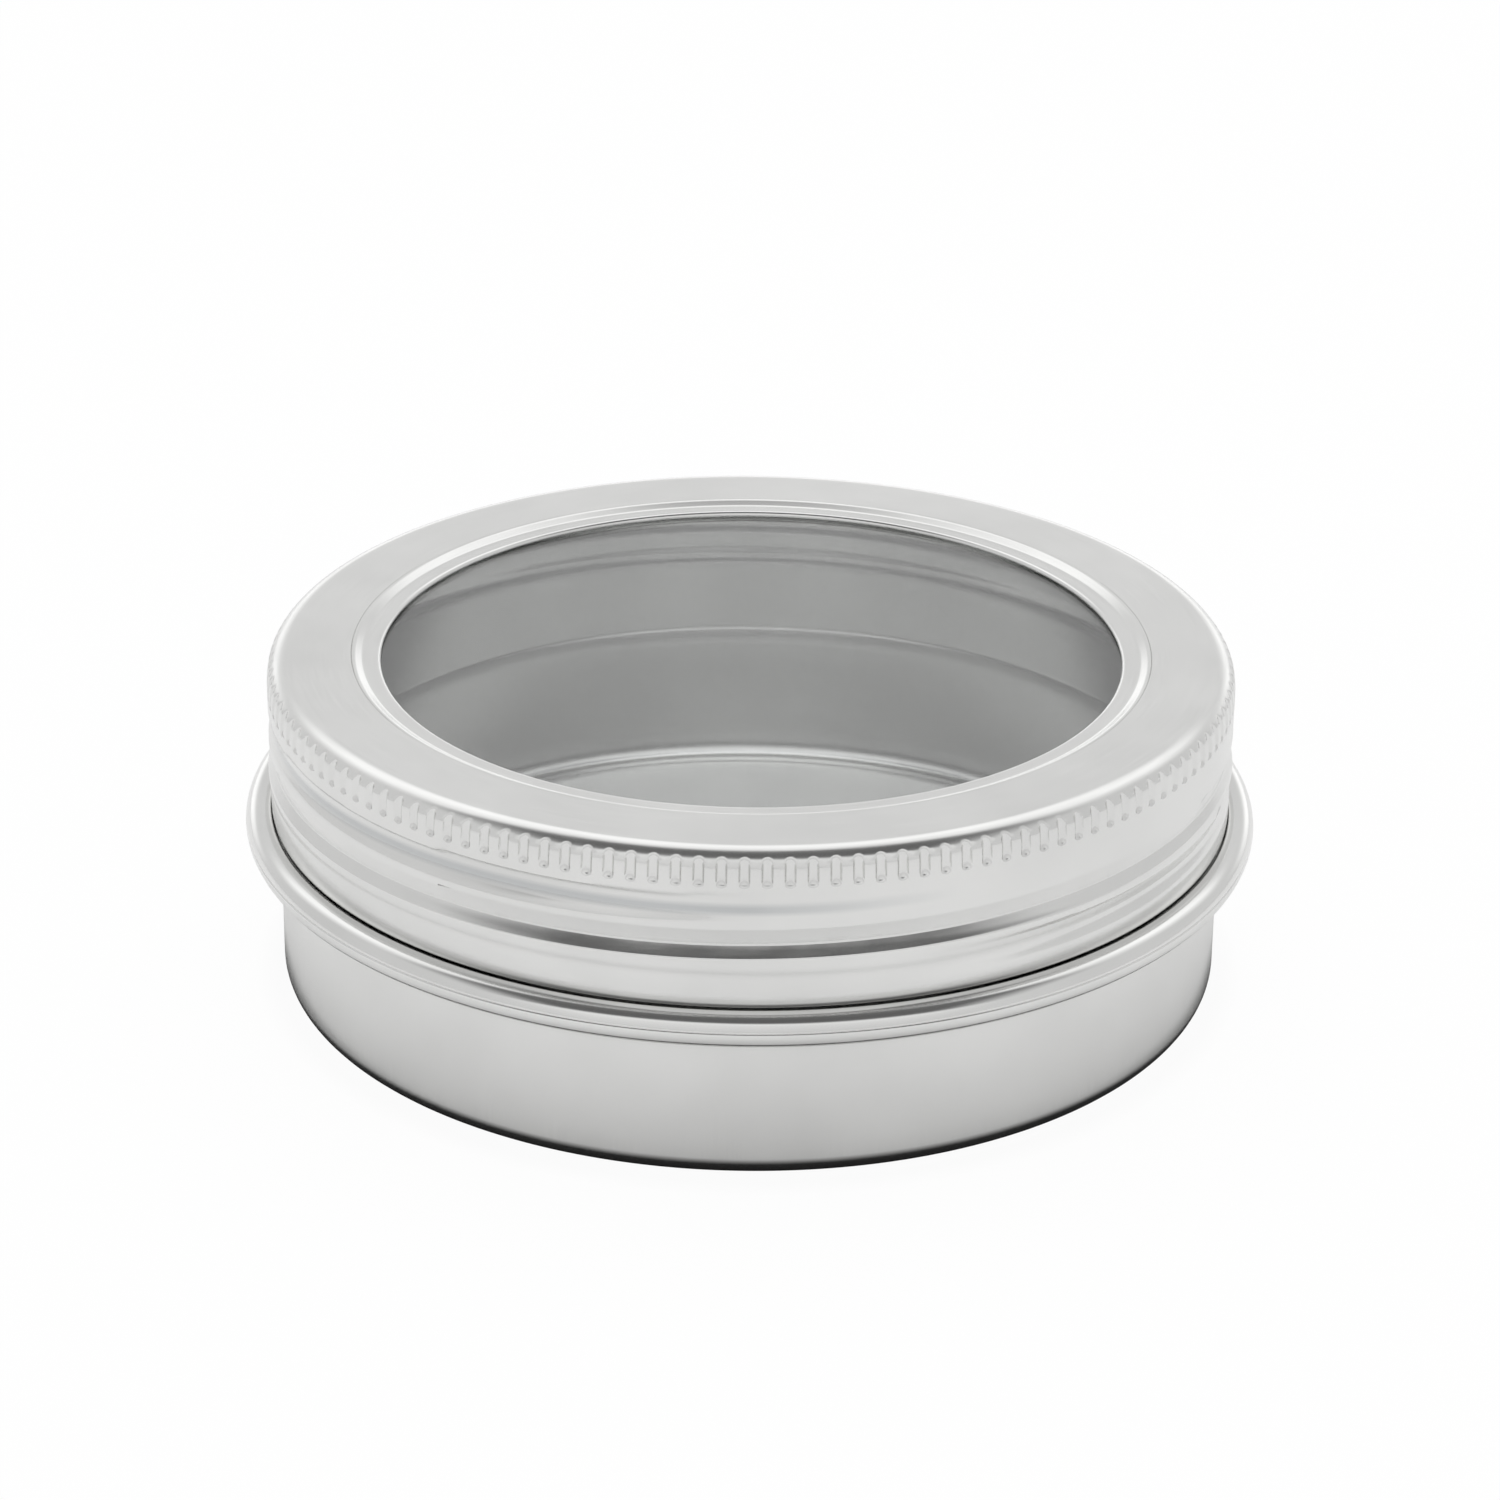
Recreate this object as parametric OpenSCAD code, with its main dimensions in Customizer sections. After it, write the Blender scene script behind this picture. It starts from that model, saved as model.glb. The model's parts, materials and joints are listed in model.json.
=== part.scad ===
// Round screw-top tin with a clear window in its lid.
// The base of the tin stands on the XY plane and the screw axis is +Z.
// The front of the tin faces -Y. Angles around the screw axis start there.

/* [Tin body] */
// Outside diameter of the side wall
body_d = 77.4; // [60:0.2:100]
// Thickness of the drawn sheet
body_sheet = 0.4; // [0.3:0.05:0.5]
// Outside radius of the rounded corner at the base
base_corner_r = 1.8; // [1:0.1:4]

/* [Rolled bead] */
// How far the bead stands out beyond the side wall
bead_out = 2.8; // [2.6:0.1:4]
// Height of the bead from its lower to its upper side
bead_h = 2.8; // [2:0.1:3.2]
// Height of the middle of the bead above the base
bead_z = 13.8; // [8:0.1:20]
// Height of the slit inside the tin, where the hollow bead closes
bead_slit = 0.25; // [0.2:0.05:0.6]

/* [Neck] */
// Height of the neck from the middle of the bead to the top of its curled lip
neck_h = 11.8; // [9:0.1:16]
// Radius of the curl that closes the lip
lip_curl_r = 0.5; // [0.4:0.05:0.7]
// Height that the thread stands out from the neck
neck_thread_h = 0.5; // [0.3:0.05:0.5]

/* [Lid] */
// How far the skirt stands out beyond the side wall
skirt_out = 0.7; // [0.5:0.05:1]
// Thickness of the lid's sheet
lid_sheet = 0.4; // [0.3:0.05:0.5]
// Outside radius of the shoulder between the top and the skirt
shoulder_r = 1.6; // [1:0.1:1.8]
// Width of the lid's top from its outer edge to the opening
top_w = 7; // [6:0.1:14]
// Depth of the shelf inside the opening, below the flat top
shelf_drop = 0.45; // [0.3:0.05:0.8]
// Width of the slope between the flat top and the shelf
shelf_slope_w = 0.65; // [0.3:0.05:1]
// Width of the flat shelf that frames the window
shelf_w = 1.7; // [1:0.1:3]

/* [Grip flutes] */
// Number of flutes pressed into the skirt
flute_count = 144; // [36:1:150]
// Radius of the tool that presses one flute
flute_r = 0.6; // [0.4:0.05:0.8]
// Depth of a flute
flute_depth = 0.2; // [0.1:0.02:0.24]
// Height of the lower end of the flutes below the lid's top
flute_low = 2.85; // [2:0.05:3]

/* [Screw thread] */
// Rise of the thread in one turn
thread_pitch = 3; // [2.4:0.1:3.4]
// Width of the rolled thread from its lower to its upper edge
thread_w = 1.8; // [1.2:0.1:2]
// Depth of the groove rolled into the skirt
lid_thread_h = 0.5; // [0.3:0.05:0.5]
// Depth of the middle of the groove below the lid's top, at the front
lid_thread_low = 7.5; // [7:0.1:8]
// Turns of thread in the lid
lid_thread_turns = 2; // [1:0.1:2]
// Turns of thread on the neck
neck_thread_turns = 1.7; // [1:0.1:1.8]
// Height of the neck's thread above the thread of the lid
thread_offset = 1.2; // [1.1:0.1:1.5]

/* [Window and liner] */
// Thickness of the clear window
window_t = 0.5; // [0.3:0.05:0.8]
// Width of the foam liner from its inner to its outer edge
liner_w = 3.8; // [2:0.1:5]
// Thickness of the foam liner
liner_t = 1; // [0.6:0.1:1.2]

/* [Clearances] */
// Radial gap between the skirt's thread and the plain neck
thread_gap = 0.3; // [0.3:0.05:0.4]
// Radial gap between the window and the skirt
window_gap = 0.7; // [0.6:0.05:1.2]
// Radial gap between the liner and the skirt
liner_gap = 0.6; // [0.5:0.05:1]
// Gap between the liner and the lip that it closes on
lip_gap = 0.05; // [0.02:0.01:0.2]
// Height of the skirt's lower edge above what lies under it
skirt_gap = 0.1; // [0.05:0.05:1]

/* [Hidden] */

$fn = 96;

body_r = body_d / 2;
bead_r = bead_h / 2;
bead_centre_r = body_r + bead_out - bead_r;
bead_inner_r = bead_r - body_sheet;
// Top of the sheet that turns outward from the wall into the bead
bead_fold_z = bead_z - bead_inner_r;
// Lower end of the neck, and the floor of the groove between neck and bead
neck_end_z = bead_fold_z + bead_slit;
bead_groove_z = neck_end_z + body_sheet;

lid_r = body_r + skirt_out;
lid_inner_r = lid_r - lid_sheet;
lid_crest_r = lid_inner_r - lid_thread_h;

neck_r = lid_crest_r - thread_gap;
neck_inner_r = neck_r - body_sheet;
lip_z = bead_z + neck_h;
lip_centre_z = lip_z - lip_curl_r;
// The curl stays this far inside the neck's outer face
lip_inset = 0.05;
lip_centre_r = neck_r - lip_curl_r - lip_inset;

liner_z = lip_z + lip_gap;
window_z = liner_z + liner_t;
shelf_low_z = window_z + window_t;
shelf_z = shelf_low_z + lid_sheet;
lid_z = shelf_z + shelf_drop;
shoulder_z = lid_z - shoulder_r;
opening_r = lid_r - top_w;
slope_r = opening_r - shelf_slope_w;
shelf_edge_r = slope_r - shelf_w;
// Top of the bead below the outer face of the skirt, which hangs beside its crest
bead_seat_h = sqrt(max(0, bead_r ^ 2 - (bead_centre_r - lid_r) ^ 2));
skirt_z = max(bead_z + bead_seat_h, bead_groove_z) + skirt_gap;
flute_z = lid_z - flute_low;
// Length of flute that runs out through the shoulder
flute_over = 1;
flute_facets = 24;
// How far the cut that opens the bead reaches past the neck's inner face
bead_cut_over = 1;

// The threaded stretch of each wall is swept from rings of points
ring_steps = 72;
ring_step = 360 / ring_steps;
// Height of one step of the swept walls
row_h = 0.46;
// Turn over which a thread rises from and fades into its wall
thread_fade = 0.12;
// The turned walls end inside the swept ones, which are this much thicker
seam_step = 0.02;
seam_h = 0.3;

// Plain wall left between the swept skirt and the flutes
flute_clear = 0.5;
// Plain wall left on the neck above the skirt's lower edge and below the curl
neck_low_clear = 0.8;
neck_top_clear = 0.15;

skirt_top_z = flute_z - flute_clear;
lid_thread_z = lid_z - lid_thread_low;
// Where each thread ends at the top, in turns from the front
lid_thread_end = 1.04;
neck_thread_end = 0.72;
lid_thread_start = lid_thread_end - lid_thread_turns;
neck_low_z = skirt_z + neck_low_clear;
neck_top_z = lip_centre_z - lip_curl_r - neck_top_clear;
neck_thread_z = lid_thread_z + thread_offset;
neck_thread_start = neck_thread_end - neck_thread_turns;

// Height of the thread's round section at a distance from its middle, 0 to 1
function thread_section(offset) =
    abs(offset) > thread_w / 2 ? 0 : (1 + cos(360 * offset / thread_w)) / 2;

// Share of the full thread at a place along its length, fading at both ends
function thread_share(turn, start, end) =
    max(0, min(1, (turn - start) / thread_fade, (end - turn) / thread_fade));

// Thread height, 0 to 1, at an angle and a height on the wall
function thread_at(angle, z, ref_z, start, end) =
    let (climb = (z - ref_z) / thread_pitch - angle / 360)
    let (loop = round(climb))
    thread_section((climb - loop) * thread_pitch)
        * thread_share(angle / 360 + loop, start, end);

// Radius of a wall point after the thread has moved it in or out
function wall_point(angle, row, ref_z, start, end, reach) =
    let (r = row[0] + reach * thread_at(angle, row[1], ref_z, start, end))
    [r * sin(angle), -r * cos(angle), row[1]];

// A wall given by a closed loop of [radius, height] rows, swept round the axis
module threaded_wall(rows, ref_z, start, end, reach) {
    row_count = len(rows);
    angles = [for (step = [0 : ring_steps - 1]) -180 + step * ring_step];
    points = [
        for (angle = angles)
            for (row = rows)
                wall_point(angle, row, ref_z, start, end, reach)
    ];
    faces = [
        for (step = [0 : ring_steps - 1])
            for (row = [0 : row_count - 1])
                let (here = step * row_count)
                let (next = ((step + 1) % ring_steps) * row_count)
                let (up = (row + 1) % row_count)
                for (half = [0, 1])
                    half == 0
                        ? [here + row, here + up, next + up]
                        : [here + row, next + up, next + row]
    ];
    polyhedron(points = points, faces = faces, convexity = 6);
}

// Corner radius of the swept outer face, whose flats clear the round wall
function swept_outer(r) = (r + seam_step) / cos(ring_step / 2);

// Closed loop of a plain wall: up the outer face and down the inner one
function wall_loop(outer_r, inner_r, heights) =
    let (last = len(heights) - 1)
    concat(
        [for (step = [0 : last]) [swept_outer(outer_r), heights[step]]],
        [for (step = [0 : last]) [inner_r - seam_step, heights[last - step]]]
    );

// Even heights between two levels
function even_heights(low, high) =
    let (steps = ceil((high - low) / row_h))
    [for (step = [0 : steps]) low + (high - low) * step / steps];

// Sheet bent through a quarter turn, convex to the outside and the given side
module corner_section(centre_r, centre_z, radius, sheet, up) {
    translate([centre_r, centre_z])
        mirror([0, up ? 0 : 1])
            intersection() {
                difference() {
                    circle(r = radius);
                    circle(r = radius - sheet);
                }
                square(radius);
            }
}

// Section of the cup from the middle of its base up to the bead
module cup_section() {
    corner_r = body_r - base_corner_r;
    square([corner_r, body_sheet]);
    corner_section(corner_r, base_corner_r, base_corner_r, body_sheet, false);
    translate([body_r - body_sheet, base_corner_r])
        square([body_sheet, bead_fold_z - base_corner_r]);
}

// Section of the hollow bead, folded in above the wall and below the neck
module bead_section() {
    wall_in_r = body_r - body_sheet;
    difference() {
        union() {
            translate([bead_centre_r, bead_z])
                circle(r = bead_r);
            translate([wall_in_r, bead_z - bead_r])
                square([bead_centre_r - wall_in_r, body_sheet]);
            translate([neck_inner_r, neck_end_z])
                square([bead_centre_r - neck_inner_r, body_sheet]);
        }
        translate([bead_centre_r, bead_z])
            circle(r = bead_inner_r);
        translate([neck_inner_r - bead_cut_over, bead_fold_z])
            square([bead_centre_r - neck_inner_r + bead_cut_over, bead_slit]);
    }
}

// Section of the curled lip and the short neck below it
module lip_section() {
    translate([lip_centre_r, lip_centre_z])
        circle(r = lip_curl_r);
    translate([neck_inner_r, neck_top_z - seam_h])
        square([body_sheet, lip_centre_z - neck_top_z + seam_h]);
}

module tin_body() {
    color([0.80, 0.80, 0.79]) {
        rotate_extrude() {
            cup_section();
            bead_section();
            translate([neck_inner_r, neck_end_z])
                square([body_sheet, neck_low_z + seam_h - neck_end_z]);
        }
        threaded_wall(
            wall_loop(neck_r, neck_inner_r, even_heights(neck_low_z, neck_top_z)),
            neck_thread_z, neck_thread_start, neck_thread_end, neck_thread_h
        );
        rotate_extrude()
            lip_section();
    }
}

// Section of the lid's top: flat ring, slope, and shelf with a round edge
module lid_top_section() {
    edge_r = lid_sheet / 2;
    polygon([
        [lid_r - shoulder_r, lid_z],
        [opening_r, lid_z],
        [slope_r, shelf_z],
        [shelf_edge_r + edge_r, shelf_z],
        [shelf_edge_r + edge_r, shelf_low_z],
        [slope_r + edge_r, shelf_low_z],
        [opening_r + edge_r, lid_z - lid_sheet],
        [lid_r - shoulder_r, lid_z - lid_sheet]
    ]);
    translate([shelf_edge_r + edge_r, shelf_low_z + edge_r])
        circle(r = edge_r);
}

// Upper part of the lid with its top, shoulder and fluted band
module lid_top() {
    difference() {
        rotate_extrude() {
            lid_top_section();
            corner_section(lid_r - shoulder_r, shoulder_z, shoulder_r, lid_sheet, true);
            translate([lid_inner_r, skirt_top_z - seam_h])
                square([lid_sheet, shoulder_z - skirt_top_z + seam_h]);
        }
        for (flute = [0 : flute_count - 1])
            rotate([0, 0, flute * 360 / flute_count])
                translate([lid_r - flute_depth + flute_r, 0, flute_z])
                    cylinder(r = flute_r, h = flute_low + flute_over, $fn = flute_facets);
    }
}

// Points of the skirt's rounded lower edge, at angles below the horizontal
function skirt_edge(angles) =
    let (edge_r = lid_sheet / 2)
    [for (angle = angles)
        [lid_r - edge_r + edge_r * cos(angle), skirt_z + edge_r - edge_r * sin(angle)]];

// Closed loop of the skirt
function skirt_loop() =
    concat(
        skirt_edge([90, 60, 30]),
        wall_loop(lid_r, lid_inner_r, even_heights(skirt_z + lid_sheet / 2, skirt_top_z)),
        skirt_edge([150, 120])
    );

module lid_shell() {
    color([0.82, 0.82, 0.81]) {
        lid_top();
        threaded_wall(skirt_loop(), lid_thread_z, lid_thread_start, lid_thread_end, -lid_thread_h);
    }
}

module window() {
    color([0.85, 0.88, 0.88, 0.35])
        translate([0, 0, window_z])
            cylinder(r = lid_inner_r - window_gap, h = window_t);
}

module liner() {
    color([0.93, 0.93, 0.91])
        translate([0, 0, liner_z])
            rotate_extrude()
                translate([lid_inner_r - liner_gap - liner_w, 0])
                    square([liner_w, liner_t]);
}

tin_body();
lid_shell();
window();
liner();
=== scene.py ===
"""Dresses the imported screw-top tin: metal skins, clear window, foam liner and a plain white stage."""

import json
import math

import bmesh
import bpy
import numpy as np
from mathutils import Matrix, Vector

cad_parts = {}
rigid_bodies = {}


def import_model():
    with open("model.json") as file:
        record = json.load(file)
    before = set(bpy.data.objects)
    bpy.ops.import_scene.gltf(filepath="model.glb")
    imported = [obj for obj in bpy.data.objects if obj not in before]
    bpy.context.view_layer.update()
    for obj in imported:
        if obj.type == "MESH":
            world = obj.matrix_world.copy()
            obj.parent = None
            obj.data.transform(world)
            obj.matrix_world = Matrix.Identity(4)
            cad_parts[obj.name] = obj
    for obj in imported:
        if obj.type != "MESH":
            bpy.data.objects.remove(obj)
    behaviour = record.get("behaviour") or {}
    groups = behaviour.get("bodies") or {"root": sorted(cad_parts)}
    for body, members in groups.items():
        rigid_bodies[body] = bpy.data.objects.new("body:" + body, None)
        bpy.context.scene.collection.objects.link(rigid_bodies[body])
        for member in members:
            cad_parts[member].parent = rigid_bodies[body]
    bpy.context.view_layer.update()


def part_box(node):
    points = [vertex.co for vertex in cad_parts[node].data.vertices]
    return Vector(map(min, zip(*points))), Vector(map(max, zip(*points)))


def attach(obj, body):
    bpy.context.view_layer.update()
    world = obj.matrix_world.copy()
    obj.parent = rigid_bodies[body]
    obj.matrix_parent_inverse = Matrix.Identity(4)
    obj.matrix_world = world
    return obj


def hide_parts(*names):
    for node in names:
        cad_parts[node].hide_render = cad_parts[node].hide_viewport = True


bl_info = {
    "name": "Window Lid Tin",
    "version": (1, 0, 0),
    "blender": (4, 5, 0),
    "location": "View3D > Sidebar > Tin",
    "description": "Builds the metal skins, window and liner of a screw-top tin, and its stage",
    "category": "Object",
}

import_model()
LID_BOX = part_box("lid_shell")
WINDOW_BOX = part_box("window")
LINER_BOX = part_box("liner")

MM = 0.001
TAU = 2 * math.pi
WELD = 0.001 * MM

# The camera of the photograph, found from the rims of the tin
PICTURE_PX = 1500
FOCAL_PX = 4823.6
AXIS_PX = (749.6, 822.4)
SENSOR = 36
CAMERA_RISE = math.radians(25.333)
CAMERA_ROLL = math.radians(0.62)
CAMERA_DISTANCE = 0.4
CAMERA_TARGET_Z = 12 * MM


class TinBodySizes(bpy.types.PropertyGroup):
    """Sizes of the drawn body below the lid."""

    wall_r: bpy.props.FloatProperty(
        name="Wall radius", description="Outside radius of the side wall",
        default=38.7 * MM, unit="LENGTH")
    sheet: bpy.props.FloatProperty(
        name="Sheet", description="Thickness of the aluminium sheet",
        default=0.4 * MM, unit="LENGTH")
    corner_r: bpy.props.FloatProperty(
        name="Base corner", description="Outside radius of the corner between base and wall",
        default=1.8 * MM, unit="LENGTH")
    bead_r: bpy.props.FloatProperty(
        name="Bead", description="Radius of the round bead",
        default=1.4 * MM, unit="LENGTH")
    bead_centre_r: bpy.props.FloatProperty(
        name="Bead place", description="Radius at which the bead's centre runs",
        default=40.1 * MM, unit="LENGTH")
    bead_z: bpy.props.FloatProperty(
        name="Bead height", description="Height of the bead's centre",
        default=13.8 * MM, unit="LENGTH")
    bead_slit: bpy.props.FloatProperty(
        name="Bead slit", description="Height of the slit inside the tin where the bead closes",
        default=0.2 * MM, unit="LENGTH")
    crease_depth: bpy.props.FloatProperty(
        name="Crease", description="Depth of the fine line round the outside of the bead",
        default=0.07 * MM, unit="LENGTH")
    crease_angle: bpy.props.FloatProperty(
        name="Crease place", description="Angle of the fine line above the bead's widest part",
        default=math.radians(8), unit="ROTATION")
    neck_r: bpy.props.FloatProperty(
        name="Neck radius", description="Outside radius of the neck",
        default=38.2 * MM, unit="LENGTH")
    lip_r: bpy.props.FloatProperty(
        name="Lip", description="Radius of the curled lip",
        default=0.5 * MM, unit="LENGTH")
    lip_top: bpy.props.FloatProperty(
        name="Lip height", description="Height of the top of the curled lip",
        default=25.6 * MM, unit="LENGTH")


class LidSizes(bpy.types.PropertyGroup):
    """Sizes of the screw lid."""

    skirt_r: bpy.props.FloatProperty(
        name="Skirt radius", description="Outside radius of the skirt",
        default=39.4 * MM, unit="LENGTH")
    sheet: bpy.props.FloatProperty(
        name="Sheet", description="Thickness of the aluminium sheet",
        default=0.4 * MM, unit="LENGTH")
    shoulder_r: bpy.props.FloatProperty(
        name="Shoulder", description="Radius of the bend between the flat top and the skirt",
        default=1.75 * MM, unit="LENGTH")
    opening_r: bpy.props.FloatProperty(
        name="Opening", description="Radius at which the flat top turns down",
        default=32.4 * MM, unit="LENGTH")
    edge_round: bpy.props.FloatProperty(
        name="Opening rounding", description="Radius of the bends above and below the slope",
        default=0.5 * MM, unit="LENGTH")
    slope_tilt: bpy.props.FloatProperty(
        name="Slope tilt", description="Steepness of the slope from the flat top down to the shelf",
        default=math.radians(30), unit="ROTATION")
    shelf_drop: bpy.props.FloatProperty(
        name="Shelf depth", description="Depth of the shelf below the flat top",
        default=0.36 * MM, unit="LENGTH")
    line_size: bpy.props.FloatProperty(
        name="Opening line", description="Width and depth of the fine line outside the opening",
        default=0.09 * MM, unit="LENGTH")
    shelf_r: bpy.props.FloatProperty(
        name="Shelf edge", description="Radius of the shelf's inner edge, round the window",
        default=30.15 * MM, unit="LENGTH")
    shelf_round: bpy.props.FloatProperty(
        name="Shelf rounding", description="Radius of the rounding on the shelf's inner edge",
        default=0.33 * MM, unit="LENGTH")
    flute_count: bpy.props.IntProperty(
        name="Flutes", description="Number of grip flutes round the skirt", default=144)
    flute_w: bpy.props.FloatProperty(
        name="Flute width", description="Width of one flute",
        default=0.88 * MM, unit="LENGTH")
    flute_depth: bpy.props.FloatProperty(
        name="Flute depth", description="Depth of one flute at its lower end",
        default=0.22 * MM, unit="LENGTH")
    flute_lean: bpy.props.FloatProperty(
        name="Flute lean", description="How much deeper a flute gets for each length that it rises",
        default=0.12)
    flute_turn: bpy.props.FloatProperty(
        name="Flute place", description="Turn of the first flute from the front",
        default=math.radians(-0.5), unit="ROTATION")
    flute_low: bpy.props.FloatProperty(
        name="Flute end", description="Height of the lower end of the flutes",
        default=25.15 * MM, unit="LENGTH")


class ThreadSizes(bpy.types.PropertyGroup):
    """Sizes of the screw thread that a roller presses into the sheet."""

    pitch: bpy.props.FloatProperty(
        name="Pitch", description="Rise of the thread in one turn",
        default=3 * MM, unit="LENGTH")
    depth: bpy.props.FloatProperty(
        name="Neck height", description="Height that the neck's ridge stands out",
        default=0.38 * MM, unit="LENGTH")
    flank_w: bpy.props.FloatProperty(
        name="Neck flanks", description="Height of each flank of the neck's ridge",
        default=0.85 * MM, unit="LENGTH")
    lid_depth: bpy.props.FloatProperty(
        name="Lid depth", description="Depth of the lid's groove at the front, where it is deepest",
        default=0.78 * MM, unit="LENGTH")
    side_share: bpy.props.FloatProperty(
        name="Side share", description="Depth of the lid's groove at the sides, as a share of the deepest",
        default=0.5, min=0, max=1)
    upper_w: bpy.props.FloatProperty(
        name="Upper flank", description="Height of the flank above the lid's groove",
        default=3.2 * MM, unit="LENGTH")
    lower_w: bpy.props.FloatProperty(
        name="Lower flank", description="Height of the flank below the lid's groove",
        default=0.78 * MM, unit="LENGTH")
    valley_w: bpy.props.FloatProperty(
        name="Valley", description="Height of the level part of the valley or the ridge",
        default=0.02 * MM, unit="LENGTH")
    lid_z: bpy.props.FloatProperty(
        name="Lid thread height", description="Height of the lid's groove at the front",
        default=20.12 * MM, unit="LENGTH")
    lid_start: bpy.props.FloatProperty(
        name="Lid thread start", description="Turn at which the lid's groove starts", default=-0.96)
    lid_end: bpy.props.FloatProperty(
        name="Lid thread end", description="Turn at which the lid's groove ends", default=1.025)
    neck_z: bpy.props.FloatProperty(
        name="Neck thread height", description="Height of the neck's ridge at the front",
        default=21.7 * MM, unit="LENGTH")
    neck_start: bpy.props.FloatProperty(
        name="Neck thread start", description="Turn at which the neck's ridge starts", default=-0.98)
    neck_end: bpy.props.FloatProperty(
        name="Neck thread end", description="Turn at which the neck's ridge ends", default=0.72)
    fade: bpy.props.FloatProperty(
        name="Fade", description="Turn over which a thread fades at its ends", default=0.12)
    inside_share: bpy.props.FloatProperty(
        name="Inside share", description="How much of the neck's ridge shows inside the neck",
        default=0.25, min=0, max=1)
    draw_z: bpy.props.FloatProperty(
        name="Drawn-in height", description="Height below which the skirt is drawn in",
        default=17.2 * MM, unit="LENGTH")
    draw_tilt: bpy.props.FloatProperty(
        name="Drawn-in tilt", description="How steeply the skirt's lower end is drawn in",
        default=math.radians(1.5), unit="ROTATION")
    bulge: bpy.props.FloatProperty(
        name="Bulge", description="How far the skirt bulges out below the thread",
        default=0.12 * MM, unit="LENGTH")


class FinishColours(bpy.types.PropertyGroup):
    """Colours and gloss of the materials."""

    metal: bpy.props.FloatVectorProperty(
        name="Aluminium", description="Colour of the bare aluminium", subtype="COLOR",
        size=4, default=(0.80, 0.80, 0.79, 1))
    metal_roughness: bpy.props.FloatProperty(
        name="Satin", description="Roughness of the satin metal", default=0.22, min=0, max=1)
    foam: bpy.props.FloatVectorProperty(
        name="Foam", description="Colour of the foam liner", subtype="COLOR",
        size=4, default=(0.80, 0.80, 0.77, 1))
    plastic: bpy.props.FloatVectorProperty(
        name="Window", description="Colour of the clear window", subtype="COLOR",
        size=4, default=(0.97, 0.98, 0.98, 1))


GROUPS = {
    "tin_body_sizes": TinBodySizes,
    "tin_lid_sizes": LidSizes,
    "tin_thread_sizes": ThreadSizes,
    "tin_finish": FinishColours,
}


def deselect_all():
    for thing in bpy.context.view_layer.objects:
        thing.select_set(False)


def arc(centre, radius, start, end, steps):
    """Points on a circle in the profile plane, at angles in degrees from start to end."""
    angles = np.radians(np.linspace(start, end, steps + 1))
    return [(centre[0] + radius * math.cos(a), centre[1] + radius * math.sin(a)) for a in angles]


def line(start, end, steps):
    """Points on a straight stretch after its start, up to and with its end."""
    shares = [(step + 1) / steps for step in range(steps)]
    return [(start[0] + (end[0] - start[0]) * s, start[1] + (end[1] - start[1]) * s) for s in shares]


def turn_sector(name, profile, steps, sectors):
    """Turns a profile of (radius, height) points through one sector about the tin's axis."""
    deselect_all()
    first = profile[0]
    bpy.ops.mesh.primitive_plane_add(size=MM, location=(first[0], 0, first[1]))
    turned = bpy.context.active_object
    turned.name = name
    turned.data.name = name
    bpy.ops.object.transform_apply(location=True, rotation=True, scale=True)
    bpy.ops.object.mode_set(mode="EDIT")
    bpy.ops.mesh.select_mode(type="VERT")
    bpy.ops.mesh.merge(type="CENTER")
    for here, there in zip(profile, profile[1:]):
        step = (there[0] - here[0], 0, there[1] - here[1])
        bpy.ops.mesh.extrude_region_move(TRANSFORM_OT_translate={"value": step})
    bpy.ops.mesh.select_all(action="SELECT")
    bpy.ops.mesh.remove_doubles(threshold=WELD)
    bpy.ops.mesh.spin(steps=steps, angle=TAU / sectors, center=(0, 0, 0), axis=(0, 0, 1))
    bpy.ops.object.mode_set(mode="OBJECT")
    return turned


def repeat_sector(piece, sectors):
    """Copies a sector round the axis until it is a full turn, and welds the copies."""
    bpy.ops.object.mode_set(mode="EDIT")
    bpy.ops.mesh.select_all(action="SELECT")
    rest = sectors - 1
    bpy.ops.mesh.spin(steps=rest, dupli=True, angle=TAU * rest / sectors, center=(0, 0, 0), axis=(0, 0, 1))
    bpy.ops.mesh.select_all(action="SELECT")
    bpy.ops.mesh.remove_doubles(threshold=WELD)
    bpy.ops.mesh.normals_make_consistent(inside=False)
    bpy.ops.object.mode_set(mode="OBJECT")


def lathe(name, profile, steps, sectors=24):
    """Turns a profile through a full turn, sector by sector."""
    piece = turn_sector(name, profile, steps, sectors)
    repeat_sector(piece, sectors)
    return piece


def read_points(piece):
    """Vertex places of a piece as radius, turn from the front in degrees, and height."""
    places = np.empty(len(piece.data.vertices) * 3)
    piece.data.vertices.foreach_get("co", places)
    x, y, z = places.reshape(-1, 3).T
    return np.hypot(x, y), np.degrees(np.arctan2(x, -y)), z


def write_points(piece, radius, turn, z):
    x = radius * np.sin(np.radians(turn))
    y = -radius * np.cos(np.radians(turn))
    piece.data.vertices.foreach_set("co", np.stack([x, y, z], 1).ravel())
    piece.data.update()


def smooth_step(share):
    share = np.clip(share, 0, 1)
    return share * share * (3 - 2 * share)


def ease_ends(share):
    """A straight rise from 0 to 1 with only its two corners rounded."""
    share = np.clip(share, 0, 1)
    return 0.75 * share + 0.25 * smooth_step(share)


def thread_height(sizes, turn, z, ref_z, start, end, upper_w, lower_w):
    """Height of the thread, 0 to 1, at a turn and a height on the wall."""
    climb = (z - ref_z) / sizes.pitch - turn / 360
    loop = np.round(climb)
    offset = (climb - loop) * sizes.pitch
    above = ease_ends(1 - (offset - sizes.valley_w / 2) / upper_w)
    below = np.clip(1 - (-offset - sizes.valley_w / 2) / lower_w, 0, 1)
    place = turn / 360 + loop
    share = np.clip(np.minimum((place - start) / sizes.fade, (end - place) / sizes.fade), 0, 1)
    return np.where(offset > 0, above, below) * smooth_step(share)


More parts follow.
